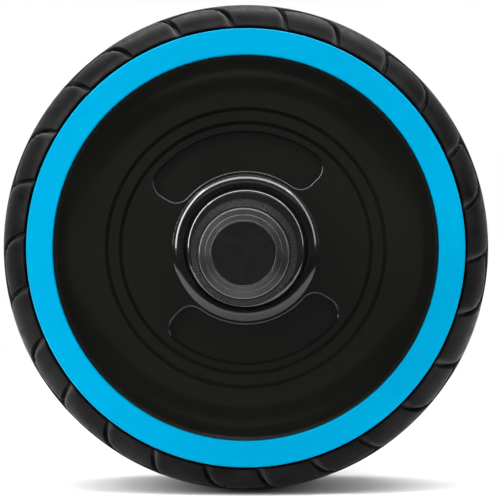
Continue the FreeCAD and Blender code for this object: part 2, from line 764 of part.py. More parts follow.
def race(name, radius, land):
    """A bearing race between the given radius and its land, with the balls' track in the land."""
    half = (track_radius * track_radius - size.land_rise * size.land_rise).root()
    hand = -1 if radius.value > land.value else 1
    return turned_body(name, [
        (radius, bearing_start),
        (radius, bearing_end),
        (land, bearing_end),
        (land, bearing_middle + half, (track_radius, hand)),
        (land, bearing_middle - half),
        (land, bearing_start),
    ])


def bearing_outer_race(name):
    return race(name, size.bearing_radius, outer_land_radius)


def bearing_inner_race(name):
    return race(name, size.axle_radius + size.fit_gap, inner_land_radius)


def ball_at_circle(name, radius):
    """A ball on the ball circle of the bearing, with its poles towards and away from the axle."""
    ball = doc.addObject("Part::Sphere", name)
    ball.setExpression("Radius", radius.text)
    ball.Placement.Rotation = FreeCAD.Rotation(AXLE_LINE, 90)
    ball.setExpression("Placement.Base.x", ball_circle.text)
    ball.setExpression("Placement.Base.y", bearing_middle.text)
    doc.recompute()
    return ball


def bearing_balls(name):
    ball = ball_at_circle(name + "_ball", size.ball_radius)
    return copies_round_axle(name, ball.Shape, size.ball_count)


def bearing_cage(name):
    """Ring that keeps the balls apart, with a round pocket for each."""
    inner = ball_circle - size.cage_half_thickness
    outer = ball_circle + size.cage_half_thickness
    start = bearing_middle - size.cage_half_width
    end = bearing_middle + size.cage_half_width
    ring = turned_body(name + "_ring", [(inner, start), (outer, start), (outer, end), (inner, end)])
    pocket = ball_at_circle(name + "_pocket", size.ball_radius + size.running_gap)
    return cut(name, ring, copies_round_axle(name + "_pockets", pocket.Shape, size.ball_count))


def bearing_seals(name):
    """Thin washers that close both faces of the bearing, fixed in the outer race."""
    seals = []
    outer = outer_land_radius - size.fit_gap
    inner = inner_land_radius + size.seal_gap
    first = bearing_start + size.seal_inset
    last = bearing_end - size.seal_inset - size.seal_thickness
    for letter, start in (("a", first), ("b", last)):
        end = start + size.seal_thickness
        corners = [(inner, start), (outer, start), (outer, end), (inner, end)]
        seals.append(turned_body(f"{name}_{letter}", corners))
    pair = doc.addObject("Part::Compound", name)
    pair.Links = seals
    doc.recompute()
    return pair


# Axle and handles

def axle(name):
    """Steel rod with chamfered ends, each tapped for a handle screw."""
    tap = size.handle_screw_radius + size.fit_gap
    tap_end = axle_end - size.axle_tap_depth
    half = [
        (size.axle_radius, axle_end - size.axle_chamfer),
        (size.axle_radius - size.axle_chamfer, axle_end),
        (tap, axle_end),
        (tap, tap_end),
        (ZERO, tap_end),
    ]
    other_half = [(radius, -place) for radius, place in reversed(half)]
    return turned_body(name, half + other_half)


def plain_ring(name, inner, outer, start, end):
    return turned_body(name, [(inner, start), (outer, start), (outer, end), (inner, end)])


def axle_spacer(name):
    bore = size.axle_radius + size.fit_gap
    return plain_ring(name, bore, bore + size.spacer_wall, -bearing_start, bearing_start)


def thrust_washer(name):
    return plain_ring(name, size.axle_radius + size.fit_gap, thrust_washer_radius,
                      bearing_end, core_start)


def screw_washer(name):
    return plain_ring(name, size.handle_screw_radius + size.fit_gap, screw_washer_radius,
                      screw_seat, screw_seat + size.screw_washer_thickness)


def handle_core(name):
    """Moulded tube on the axle: neck, flange in the boss, collar, grip seat and end socket."""
    bore = size.axle_radius + size.fit_gap
    body = turned_body(name, [
        (bore, core_start),
        (neck_radius, core_start),
        (neck_radius, flange_start),
        (size.flange_radius, flange_start),
        (size.flange_radius, flange_end),
        (size.collar_radius, flange_end),
        (size.collar_radius, grip_start),
        (core_radius, grip_start),
        (core_radius, core_end),
        (size.core_socket_radius, core_end),
        (size.core_socket_radius, screw_seat),
        (bore, screw_seat),
    ])
    round_rings(body, [(size.flange_radius, flange_end)], size.flange_round)
    return body


def grip(name):
    """Rubber sleeve: a bead at the wheel, a straight hold and an end that draws in to the cap."""
    bore = core_radius + size.fit_gap
    bead_end = grip_start + size.grip_bead_width
    taper_start = core_end - size.grip_taper_length
    draw = size.grip_radius - grip_end_radius
    taper_arc = (size.grip_taper_length * size.grip_taper_length + draw * draw) / (draw * 2)
    body = turned_body(name, [
        (bore, grip_start),
        (grip_bead_radius, grip_start),
        (grip_bead_radius, bead_end),
        (size.grip_radius, bead_end + size.grip_bead_slope),
        (size.grip_radius, taper_start, (taper_arc, 1)),
        (grip_end_radius, core_end),
        (bore, core_end),
    ])
    bead = [(grip_bead_radius, grip_start), (grip_bead_radius, bead_end)]
    round_rings(body, bead, size.grip_bead_round)
    return body


def handle_screw(name):
    """Socket head screw into the end of the axle."""
    head_start = screw_seat + size.screw_washer_thickness
    head_end = head_start + size.handle_screw_head_height
    tip = head_start - size.handle_screw_length
    blank = turned_body(name + "_blank", [
        (ZERO, tip),
        (size.handle_screw_radius, tip),
        (size.handle_screw_radius, head_start),
        (size.handle_screw_head_radius, head_start),
        (size.handle_screw_head_radius, head_end),
        (ZERO, head_end),
    ])
    socket = doc.addObject("Part::Prism", name + "_socket")
    socket.Polygon = 6
    socket.setExpression("Circumradius", size.handle_screw_socket_radius.text)
    socket.setExpression("Height", (size.handle_screw_socket_depth + size.cut_overrun).text)
    socket.Placement.Rotation = FreeCAD.Rotation(FreeCAD.Vector(1, 0, 0), -90)
    socket.setExpression("Placement.Base.y", (head_end - size.handle_screw_socket_depth).text)
    return cut(name, blank, socket)


cap_edge_end = core_end + size.cap_edge_height
cap_step = cap_edge_end + size.cap_lower_rise
cap_upper_start = cap_step + size.cap_step_height
cap_upper_end = cap_upper_start + size.cap_upper_rise
cap_top = cap_upper_end + size.cap_lip_height
disc_seat = cap_top - size.disc_drop - size.disc_thickness


def end_cap(name):
    """Cap with a plug in the handle's socket, two sloping bands, and a lip round the disc."""
    plug = size.core_socket_radius - size.cap_plug_gap
    disc_hole = disc_radius + size.fit_gap
    body = turned_body(name, [
        (ZERO, core_end - size.cap_plug_length),
        (plug, core_end - size.cap_plug_length),
        (plug, core_end),
        (cap_radius, core_end),
        (cap_radius, cap_edge_end),
        (cap_step_radius, cap_step),
        (cap_step_radius, cap_upper_start),
        (cap_lip_radius, cap_upper_end),
        (cap_lip_radius, cap_top),
        (disc_hole, cap_top),
        (disc_hole, disc_seat),
        (ZERO, disc_seat),
    ])
    round_rings(body, [(cap_radius, cap_edge_end)], size.cap_edge_round)
    ridges = [(cap_step_radius, cap_upper_start), (cap_lip_radius, cap_top), (disc_hole, cap_top)]
    round_rings(body, ridges, size.cap_ridge_round)
    return body


def end_disc(name):
    """Bare flat disc let into the cap."""
    top = disc_seat + size.disc_thickness
    body = turned_body(name, [
        (ZERO, disc_seat),
        (disc_radius, disc_seat),
        (disc_radius, top),
        (ZERO, top),
    ])
    round_rings(body, [(disc_radius, top)], size.disc_edge_round)
    return body


SINGLE_PIECES = [tyre, rim_drum, axle, axle_spacer]
SIDE_PIECES = [
    side_dish, accent_ring, rim_screws, bearing_outer_race, bearing_inner_race, bearing_balls,
    bearing_cage, bearing_seals, thrust_washer, handle_core, grip, handle_screw, screw_washer,
    end_cap, end_disc,
]

nodes = [build(build.__name__) for build in SINGLE_PIECES]
for side, placement in SIDES.items():
    for build in SIDE_PIECES:
        piece = build(f"{build.__name__}_{side}")
        piece.Placement = placement
        nodes.append(piece)
doc.recompute()

for item in doc.Objects:
    if "Invalid" in item.State or "Error" in item.State:
        raise RuntimeError(f"{item.Label} failed: {item.State}")
for node in nodes:
    if node.Shape.isNull() or not node.Shape.isValid():
        raise RuntimeError(f"{node.Label} has no valid shape")

os.makedirs("parts", exist_ok=True)
for node in nodes:
    node.Shape.exportStep(f"parts/{node.Label}.step")
    box = node.Shape.BoundBox
    print(f"{node.Label}: {len(node.Shape.Solids)} solids, {node.Shape.Volume / 1000:.2f} cm3, "
          f"{box.XLength:.1f} x {box.YLength:.1f} x {box.ZLength:.1f} mm")
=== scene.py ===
# %% [markdown]
# # An ab wheel roller
# A wide rubber-tyred wheel turns on two ball bearings between two straight handles. The CAD
# model already holds every piece at its real size, so it is loaded first and stays as it is.
# This script gives the pieces their surfaces: the moulded tread, the stippled grips, the gloss
# of the side dishes, and a soft studio round the whole.

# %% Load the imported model
import math
import bmesh
import bpy
import numpy as np
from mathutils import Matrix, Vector


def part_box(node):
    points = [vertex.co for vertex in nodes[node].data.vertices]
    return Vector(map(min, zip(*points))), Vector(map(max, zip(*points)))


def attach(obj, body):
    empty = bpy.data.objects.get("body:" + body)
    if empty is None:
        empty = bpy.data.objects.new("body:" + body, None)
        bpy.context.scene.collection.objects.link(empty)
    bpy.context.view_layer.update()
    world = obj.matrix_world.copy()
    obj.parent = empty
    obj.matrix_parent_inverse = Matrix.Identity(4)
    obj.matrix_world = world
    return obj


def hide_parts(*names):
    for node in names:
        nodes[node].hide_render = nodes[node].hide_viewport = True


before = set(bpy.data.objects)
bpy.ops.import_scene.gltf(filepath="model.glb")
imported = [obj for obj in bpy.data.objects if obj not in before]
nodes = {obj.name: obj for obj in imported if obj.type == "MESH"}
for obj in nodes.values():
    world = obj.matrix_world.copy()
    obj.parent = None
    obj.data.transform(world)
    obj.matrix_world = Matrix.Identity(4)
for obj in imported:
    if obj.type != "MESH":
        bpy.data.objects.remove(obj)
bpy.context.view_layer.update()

# %% [markdown]
# ## Two small helpers
# Every piece made here is a plain mesh at the origin with its place in its points, as the CAD
# nodes are. One helper links a mesh into the scene. The other welds doubled points and turns
# all faces outwards, which shading needs.

# %% Helpers for new pieces
MM = 0.001
WELD = 0.002 * MM


def put_in_scene(name, mesh):
    piece = bpy.data.objects.new(name, mesh)
    bpy.context.scene.collection.objects.link(piece)
    return piece


def weld_and_turn_out(mesh):
    shell = bmesh.new()
    shell.from_mesh(mesh)
    bmesh.ops.remove_doubles(shell, verts=shell.verts, dist=WELD)
    bmesh.ops.recalc_face_normals(shell, faces=shell.faces)
    shell.to_mesh(mesh)
    shell.free()
    mesh.shade_smooth()
    return mesh


# %% [markdown]
# ## Finishes
# Moulded plastic and rubber are never one flat colour: the shade drifts a little over the
# surface, the gloss is uneven where hands and floors have rubbed it, and the mould leaves a
# fine grain. One function makes all of these from noise in object coordinates, and each
# finish below only states its own shades, gloss and grain. Most of the noise lies between two
# values, so a range starts and ends there unless it is given others.

# %% Building blocks of a finish
NOISE_LOW, NOISE_HIGH = 0.3, 0.7


def new_finish(name):
    finish = bpy.data.materials.new(name)
    finish.use_nodes = True
    return finish, finish.node_tree.nodes["Principled BSDF"]


def add_noise(tree, place, feature_mm, detail=3.0):
    noise = tree.nodes.new("ShaderNodeTexNoise")
    noise.inputs["Scale"].default_value = 1 / (feature_mm * MM)
    noise.inputs["Detail"].default_value = detail
    tree.links.new(place, noise.inputs["Vector"])
    return noise.outputs["Fac"]


def add_range(tree, value, low, high, start=NOISE_LOW, end=NOISE_HIGH):
    spread = tree.nodes.new("ShaderNodeMapRange")
    for socket, number in (("From Min", start), ("From Max", end), ("To Min", low), ("To Max", high)):
        spread.inputs[socket].default_value = number
    tree.links.new(value, spread.inputs["Value"])
    return spread.outputs["Result"]


def add_shades(tree, value, stops):
    ramp = tree.nodes.new("ShaderNodeValToRGB")
    while len(ramp.color_ramp.elements) < len(stops):
        ramp.color_ramp.elements.new(0.5)
    for element, (position, shade) in zip(ramp.color_ramp.elements, stops):
        element.position = position
        element.color = (*shade, 1.0)
    tree.links.new(value, ramp.inputs["Fac"])
    return ramp.outputs["Color"]


def add_grain(tree, height, depth_mm, shader):
    bump = tree.nodes.new("ShaderNodeBump")
    bump.inputs["Distance"].default_value = depth_mm * MM
    tree.links.new(height, bump.inputs["Height"])
    tree.links.new(bump.outputs["Normal"], shader.inputs["Normal"])


# %% Moulded plastic and rubber
SMUDGES_PER_CLOUD = 3


def moulded_finish(name, shades, gloss, cloud_mm, grain_mm, grain_depth_mm, specular=0.5):
    finish, shader = new_finish(name)
    tree = finish.node_tree
    place = tree.nodes.new("ShaderNodeTexCoord").outputs["Object"]
    clouds = add_noise(tree, place, cloud_mm)
    dark, light = shades
    shades_between = add_shades(tree, clouds, [(NOISE_LOW, dark), (NOISE_HIGH, light)])
    tree.links.new(shades_between, shader.inputs["Base Color"])
    smudges = add_noise(tree, place, cloud_mm / SMUDGES_PER_CLOUD, detail=6.0)
    tree.links.new(add_range(tree, smudges, *gloss), shader.inputs["Roughness"])
    add_grain(tree, add_noise(tree, place, grain_mm, detail=4.0), grain_depth_mm, shader)
    shader.inputs["Specular IOR Level"].default_value = specular
    print("finish:", name)
    return finish


dish_gloss = moulded_finish(
    "dish_gloss_black", [(0.0033, 0.0035, 0.0028), (0.0045, 0.0048, 0.0038)],
    gloss=(0.10, 0.15), cloud_mm=40, grain_mm=9, grain_depth_mm=0.004)
ring_blue = moulded_finish(
    "ring_blue_plastic", [(0.0, 0.224, 0.402), (0.0, 0.238, 0.426)],
    gloss=(0.38, 0.46), cloud_mm=30, grain_mm=0.6, grain_depth_mm=0.010, specular=0.2)
RING_GLINT = (0.0, 0.7, 1.0, 1.0)
ring_blue.node_tree.nodes["Principled BSDF"].inputs["Specular Tint"].default_value = RING_GLINT
handle_black = moulded_finish(
    "handle_black_plastic", [(0.004, 0.004, 0.0044), (0.006, 0.006, 0.0064)],
    gloss=(0.12, 0.17), cloud_mm=20, grain_mm=6, grain_depth_mm=0.004, specular=0.9)
cap_charcoal = moulded_finish(
    "cap_charcoal_plastic", [(0.014, 0.014, 0.0155), (0.018, 0.018, 0.0195)],
    gloss=(0.20, 0.26), cloud_mm=12, grain_mm=0.5, grain_depth_mm=0.008, specular=0.55)
disc_black = moulded_finish(
    "disc_satin_black", [(0.0034, 0.0034, 0.0038), (0.0046, 0.0046, 0.0052)],
    gloss=(0.30, 0.38), cloud_mm=8, grain_mm=0.4, grain_depth_mm=0.006, specular=0.4)
drum_black = moulded_finish(
    "drum_black_plastic", [(0.018, 0.018, 0.019), (0.024, 0.024, 0.025)],
    gloss=(0.50, 0.62), cloud_mm=25, grain_mm=0.8, grain_depth_mm=0.02)
seal_rubber = moulded_finish(
    "seal_brown_rubber", [(0.030, 0.014, 0.009), (0.040, 0.020, 0.013)],
    gloss=(0.55, 0.68), cloud_mm=6, grain_mm=0.4, grain_depth_mm=0.01)
grip_rubber = moulded_finish(
    "grip_black_rubber", [(0.005, 0.005, 0.005), (0.008, 0.008, 0.008)],
    gloss=(0.50, 0.64), cloud_mm=10, grain_mm=0.35, grain_depth_mm=0.03, specular=0.06)

# %% [markdown]
# Axle, screws and washers are turned steel. The lathe leaves fine rings round the axle line, so
# the noise is squeezed along that line: long streaks round the piece, short ones along it.

# %% Turned steel
LATHE_SQUEEZE = (1.0, 14.0, 1.0)
LATHE_RING_MM, LATHE_RING_DEPTH_MM = 6, 0.01


def steel_finish(name, shades, gloss):
    finish, shader = new_finish(name)
    tree = finish.node_tree
    place = tree.nodes.new("ShaderNodeTexCoord").outputs["Object"]
    squeeze = tree.nodes.new("ShaderNodeMapping")
    squeeze.inputs["Scale"].default_value = LATHE_SQUEEZE
    tree.links.new(place, squeeze.inputs["Vector"])
    rings = add_noise(tree, squeeze.outputs["Vector"], LATHE_RING_MM, detail=5.0)
    dark, light = shades
    shades_between = add_shades(tree, rings, [(NOISE_LOW, dark), (NOISE_HIGH, light)])
    tree.links.new(shades_between, shader.inputs["Base Color"])
    tree.links.new(add_range(tree, rings, *gloss), shader.inputs["Roughness"])
    add_grain(tree, rings, LATHE_RING_DEPTH_MM, shader)
    shader.inputs["Metallic"].default_value = 1.0
    print("finish:", name)
    return finish


zinc_steel = steel_finish("zinc_plated_steel", [(0.50, 0.51, 0.52), (0.62, 0.63, 0.65)], (0.28, 0.42))
bearing_steel = steel_finish("polished_bearing_steel", [(0.60, 0.60, 0.60), (0.70, 0.70, 0.70)], (0.10, 0.18))
cage_steel = steel_finish("pressed_cage_steel", [(0.42, 0.40, 0.36), (0.52, 0.50, 0.46)], (0.30, 0.45))

# %% [markdown]
# ## Pieces that stay as CAD
# Turned and moulded hard pieces have their right shape already, so their nodes stay and only
# get a finish. The table pairs each kind of node with its finish; both sides share it.

# %% Finishes for the CAD nodes
FINISH_OF_NODE = {
    "rim_drum": drum_black, "axle": zinc_steel, "axle_spacer": zinc_steel,
}
FINISH_OF_SIDE_NODE = {
    "side_dish": dish_gloss, "accent_ring": ring_blue, "rim_screws": zinc_steel,
    "bearing_outer_race": bearing_steel, "bearing_inner_race": bearing_steel,
    "bearing_balls": bearing_steel, "bearing_cage": cage_steel, "bearing_seals": seal_rubber,
    "thrust_washer": zinc_steel, "handle_core": handle_black, "handle_screw": zinc_steel,
    "screw_washer": zinc_steel, "end_cap": cap_charcoal, "end_disc": disc_black,
}
SIDES = {"left": 1, "right": -1}
for kind, finish in FINISH_OF_SIDE_NODE.items():
    for side in SIDES:
        FINISH_OF_NODE[f"{kind}_{side}"] = finish
for name, finish in FINISH_OF_NODE.items():
    slots = nodes[name].data.materials
    slots.clear()
    slots.append(finish)
print("CAD nodes with a finish:", len(FINISH_OF_NODE))

# %% [markdown]
# ## The tyre
# The tyre is one rubber moulding. Its tread repeats every pair of lugs: a long groove sweeps
# from the side over the crown, and a short one hooks over its lug. The real lugs have soft
# edges, so the surface is one smooth skin that sinks into each groove. Only one lug pair is
# made here, and Geometry Nodes then turn it round the axle.
#
# The section comes first: a bowed crown, a round shoulder on each side and the bead at the
# dish. A run is the way over the surface from the bead towards the middle of the tread.

# %% Section of the tyre
tyre_low, tyre_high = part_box("tyre")
TYRE_RADIUS = min(tyre_high.x, tyre_high.z, -tyre_low.x, -tyre_low.z)
BEAD_DROP = 10.3 * MM
BEAD_RADIUS = TYRE_RADIUS - BEAD_DROP
CROWN_HALF_WIDTH, CROWN_BOW, SHOULDER_ROUND = 29.5 * MM, 320 * MM, 15.5 * MM

edge_lean = math.asin(CROWN_HALF_WIDTH / CROWN_BOW)
crown_edge = TYRE_RADIUS - CROWN_BOW * (1 - math.cos(edge_lean))
shoulder_radius = crown_edge - SHOULDER_ROUND * math.cos(edge_lean)
shoulder_place = CROWN_HALF_WIDTH - SHOULDER_ROUND * math.sin(edge_lean)
bead_lean = math.acos((BEAD_RADIUS - shoulder_radius) / SHOULDER_ROUND)
shoulder_run = SHOULDER_ROUND * (bead_lean - edge_lean)
crown_run = CROWN_BOW * edge_lean


def tyre_section(run):
    """Radius, place along the axle and lean of the surface, from the bead to the middle."""
    shoulder_lean = bead_lean - run / SHOULDER_ROUND
    crown_lean = edge_lean * (1 - (run - shoulder_run) / crown_run)
    lean = np.where(run < shoulder_run, shoulder_lean, crown_lean)
    radius = np.where(run < shoulder_run, shoulder_radius + SHOULDER_ROUND * np.cos(lean),
                      TYRE_RADIUS - CROWN_BOW * (1 - np.cos(lean)))
    place = np.where(run < shoulder_run, shoulder_place + SHOULDER_ROUND * np.sin(lean),
                     CROWN_BOW * np.sin(lean))
    return radius, place, lean


print(f"tyre radius {TYRE_RADIUS / MM:.2f} mm, shoulder run {shoulder_run / MM:.1f} mm")

# %% [markdown]
# The grooves' middle lines are short tables: along the tread in lug pitches, then how far over
# the shoulder and the crown. A Catmull-Rom curve goes through the points, so the grooves bend
# as smoothly as a cutter in the mould would.

# %% Middle lines of the grooves
LUG_PAIRS = 13
LUG_ANGLE = math.pi / LUG_PAIRS
TREAD_TURN = math.radians(107.0)
LONG_GROOVE_SHARES = [
    (-0.02, -0.12, 0.0), (0.0, 0.0, 0.0), (0.07, 0.34, 0.0), (0.16, 0.64, 0.0), (0.28, 0.85, 0.0),
    (0.42, 1.0, 0.02), (0.76, 1.0, 0.24), (1.2, 1.0, 0.54), (1.68, 1.0, 0.88),
]
SHORT_GROOVE_SHARES = [
    (-0.03, -0.12, 0.0), (0.0, 0.0, 0.0), (0.06, 0.25, 0.0), (0.13, 0.46, 0.0), (0.22, 0.63, 0.0),
    (0.34, 0.75, 0.0), (0.5, 0.81, 0.0), (0.72, 0.82, 0.0), (0.94, 0.78, 0.0), (1.19, 0.7, 0.0),
]
LINE_STEPS = 6


def groove_line(shares):
    """Points (along in lug pitches, run) of a smooth curve through the table."""
    knots = np.array([(along, over * shoulder_run + across * crown_run) for along, over, across in shares])
    padded = np.vstack([2 * knots[0] - knots[1], knots, 2 * knots[-1] - knots[-2]])
    line = []
    for before, start, end, after in zip(padded[:-3], padded[1:-2], padded[2:-1], padded[3:]):
        for t in np.arange(LINE_STEPS) / LINE_STEPS:
            line.append(0.5 * (2 * start + (end - before) * t
                               + (2 * before - 5 * start + 4 * end - after) * t ** 2
                               + (3 * start - before - 3 * end + after) * t ** 3))
    return np.array(line + [knots[-1]])


long_line, short_line = groove_line(LONG_GROOVE_SHARES), groove_line(SHORT_GROOVE_SHARES)
print("groove lines:", len(long_line), "and", len(short_line), "points")

# %% [markdown]
# A point of the skin sinks by how near it is to a groove's middle line. The walls run over
# smoothly into the lug above and the floor below, which gives the lugs their soft moulded edge.
# The edge ahead of each groove is marked too, for a painted highlight: a lighter line of
# colour for the light that the rounded edge catches. The mark is weaker on the crown.

# %% How deep the skin sinks
GROOVE_DEPTH = 2.0 * MM
GROOVE_FLOOR_HALF, GROOVE_TOP_HALF = 0.35 * MM, 1.1 * MM
BEAD_FADE_RUN, BEAD_FADE_SHARE = 7.0 * MM, 0.45
NEAR_GROOVES = range(-4, 6)
# painted highlight: width of the lighter line on the lug edge ahead of each groove, and how much it fades on
# the crown
HIGHLIGHT_WIDTH, HIGHLIGHT_FADE_RUN, HIGHLIGHT_CROWN_FADE = 1.5 * MM, 8.0 * MM, 0.6
FAR_AWAY = 1.0


def smooth_step(value):
    value = np.clip(value, 0, 1)
    return value * value * (3 - 2 * value)


def distance_to_line(line, along, run, radius):
    """Distance to a groove's middle line, and whether the point lies ahead of that line."""
    pitch = LUG_ANGLE * radius
    nearest, ahead = np.full(along.shape, FAR_AWAY), np.zeros(along.shape, bool)
    for (along_a, run_a), (along_b, run_b) in zip(line[:-1], line[1:]):
        step = (along_b - along_a) * pitch, np.full(along.shape, run_b - run_a)
        way = (along - along_a) * pitch, run - run_a
        share = (way[0] * step[0] + way[1] * step[1]) / (step[0] ** 2 + step[1] ** 2)
        share = np.clip(share, 0, 1)
        gap = np.hypot(way[0] - share * step[0], way[1] - share * step[1])
        ahead = np.where(gap < nearest, step[1] * way[0] > step[0] * way[1], ahead)
        nearest = np.minimum(nearest, gap)
    return nearest, ahead


def groove_and_edge_highlight(along, run, radius, first_long):
    """Groove share, 1 on a groove's floor, and painted edge highlight, 1 at the edge ahead; both 0 on the
    lugs.

    Long grooves start at every second pitch, short ones between them.
    """
    nearest, ahead = np.full(along.shape, FAR_AWAY), np.zeros(along.shape, bool)
    for start in NEAR_GROOVES:
        line = long_line if (start - first_long) % 2 == 0 else short_line
        gap, in_front = distance_to_line(line, along - start, run, radius)
        ahead = np.where(gap < nearest, in_front, ahead)
        nearest = np.minimum(nearest, gap)
    sunk = 1 - smooth_step((nearest - GROOVE_FLOOR_HALF) / (GROOVE_TOP_HALF - GROOVE_FLOOR_HALF))
    fade = BEAD_FADE_SHARE + (1 - BEAD_FADE_SHARE) * smooth_step(run / BEAD_FADE_RUN)
    # painted highlight: mask of the lighter line on the lug edge ahead of the nearest groove
    edge_highlight = ahead * (1 - smooth_step((nearest - GROOVE_TOP_HALF) / HIGHLIGHT_WIDTH))
    on_crown = smooth_step((run - shoulder_run) / HIGHLIGHT_FADE_RUN)
    return sunk * fade, edge_highlight * (1 - on_crown * HIGHLIGHT_CROWN_FADE)


# %% [markdown]
# The skin is a grid. Its rows run round the wheel, close together over the shoulder where the
# hooks are. Its columns lean over with the long groove, so the groove's walls follow the grid
# and stay crisp; they stand close together beside the groove and wider on the lug.

# %% Rows and columns of the skin
BEAD_ROUND, BEAD_EASE = 0.9 * MM, np.array([0.0, 0.3, 0.6, 0.85])
FIT_GAP, DRUM_END_LENGTH, SEAT_DRAW, SEAT_WIDTH = 0.03 * MM, 8.0 * MM, 0.6 * MM, 1.2 * MM
BORE_RUNS, BEAD_RUNS = np.array([-20.0, -6.0, -5.0]) * MM, (-BEAD_ROUND, 0.7 * BEAD_ROUND)
SHOULDER_ROWS, CROWN_ROWS, CROWN_EASE = 38, 22, 1.15
drum_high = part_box("rim_drum")[1]
DRUM_RADIUS = drum_high.x + FIT_GAP
DRUM_FLAT = drum_high.y - DRUM_END_LENGTH
SEAT_PLACE = drum_high.y - SEAT_DRAW
CLOSE_SHARES = np.array([0.0, 0.012, 0.024, 0.036, 0.048, 0.060, 0.076, 0.105])
WIDE_SHARES = np.linspace(0.165, 0.835, 11)

lug_columns = np.concatenate([CLOSE_SHARES, WIDE_SHARES, 1 - CLOSE_SHARES[:0:-1]])
columns = np.concatenate([lug_columns, lug_columns + 1, [2.0]])

tread_runs = np.concatenate([
    np.linspace(BEAD_ROUND, shoulder_run, SHOULDER_ROWS),
    shoulder_run + crown_run * np.linspace(0, 1, CROWN_ROWS + 1)[1:] ** CROWN_EASE,
])
radius, place, lean = tyre_section(tread_runs)
corner = np.array([BEAD_RADIUS, tyre_section(np.array(0.0))[1]])
ease = BEAD_EASE[:, None]
bead = ((1 - ease) ** 2 * (corner - (0, BEAD_ROUND)) + 2 * ease * (1 - ease) * corner
        + ease ** 2 * np.array([radius[0], place[0]]))
bore = np.array([
    (DRUM_RADIUS, DRUM_FLAT), (BEAD_RADIUS, SEAT_PLACE), (BEAD_RADIUS, SEAT_PLACE + SEAT_WIDTH)])
half_rows = np.vstack([bore, bead, np.column_stack([radius, place])])
bead_runs = np.linspace(*BEAD_RUNS, len(bead))
half_runs = np.concatenate([BORE_RUNS, bead_runs, tread_runs])
bore_lean, rim_lean = np.full(len(bore) + 1, math.pi / 2), np.full(len(bead) - 1, bead_lean)
half_lean = np.concatenate([bore_lean, rim_lean, lean])
print(f"one lug pair: {len(columns)} columns, {2 * len(half_rows) - 1} rows")

# %% [markdown]
# Both halves of the tread use the same rows, mirrored, but the left half runs one lug ahead of
# the right one, as on the real tyre. Points on the bead only sink along the axle, so that the
# tyre keeps its opening for the dish.

# %% One lug pair as a mesh
lug_shift = np.interp(half_runs, long_line[:, 1], long_line[:, 0])
last_along, last_run = long_line[-1] - long_line[-1 - LINE_STEPS]
past_end = np.maximum(half_runs - long_line[-1, 1], 0)
lug_shift = lug_shift + past_end * last_along / last_run


def half_tread(side, first_long):
    """Points of one half, row by row from the bore to the middle, with groove share and painted edge
    highlight.
    """
    along = columns[None, :] + lug_shift[:, None]
    run = np.repeat(half_runs[:, None], len(columns), axis=1)
    radius = np.repeat(half_rows[:, :1], len(columns), axis=1)
    share, edge_highlight = groove_and_edge_highlight(along, run, radius, first_long)
    sink = GROOVE_DEPTH * share
    from_axle = np.maximum(radius - sink * np.cos(half_lean)[:, None], BEAD_RADIUS)
    from_axle[0] = DRUM_RADIUS
    place = half_rows[:, 1:] - sink * np.sin(half_lean)[:, None]
    turn = TREAD_TURN + along * LUG_ANGLE
    points = np.stack([from_axle * np.cos(turn), side * place, from_axle * np.sin(turn)], axis=-1)
    return points, share, edge_highlight


both_halves = zip(half_tread(-1, 0), half_tread(1, 1))
pair_points, pair_share, pair_edge_highlight = (np.concatenate([right, left[-2::-1]]) for right, left in both_halves)
row_count, column_count = pair_points.shape[:2]
corner_index = np.arange(row_count * column_count).reshape(row_count, column_count)
next_row = np.roll(corner_index, -1, axis=0)
pair_faces = np.stack([corner_index[:, :-1], corner_index[:, 1:], next_row[:, 1:], next_row[:, :-1]], axis=-1)

pair_mesh = bpy.data.meshes.new("lug_pair")
pair_mesh.from_pydata(pair_points.reshape(-1, 3).tolist(), [], pair_faces.reshape(-1, 4).tolist())
# the groove share also places painted shade in the grooves; the second layer is the mask of a painted
# highlight on the lug edges
for layer_name, shares in (("groove_share", pair_share), ("painted_edge_highlight", pair_edge_highlight)):
    layer = pair_mesh.attributes.new(layer_name, "FLOAT", "POINT")
    layer.data.foreach_set("value", shares.reshape(-1).astype(np.float32))
lug_pair = put_in_scene("lug_pair", pair_mesh)
print("lug pair:", len(pair_mesh.vertices), "points,", len(pair_mesh.polygons), "faces")

# %% [markdown]
# ## Tyre rubber
# Rolling keeps the lugs clean and a little shiny. The edge that each lug leads with gets a
# painted highlight, coloured lighter for the light it catches, and the grooves get painted
# shade, coloured darker for the shade inside them. The two shares that are stored on the skin
# tell these places apart, so the painted highlight and shade sit exactly where the shape has them.

# %% Finish of the tyre
# painted highlight and painted shade: the lug edge ahead of a groove is coloured lighter, the groove floor
# darker
LUG_SHADE, EDGE_HIGHLIGHT_SHADE, GROOVE_PAINTED_SHADE = 0.84, 5.0, 0.6
PAINTED_SHADE_FROM, PAINTED_SHADE_TO = 0.1, 0.5


def skin_layer(tree, name):
    layer = tree.nodes.new("ShaderNodeAttribute")
    layer.attribute_name = name
    return layer.outputs["Fac"]


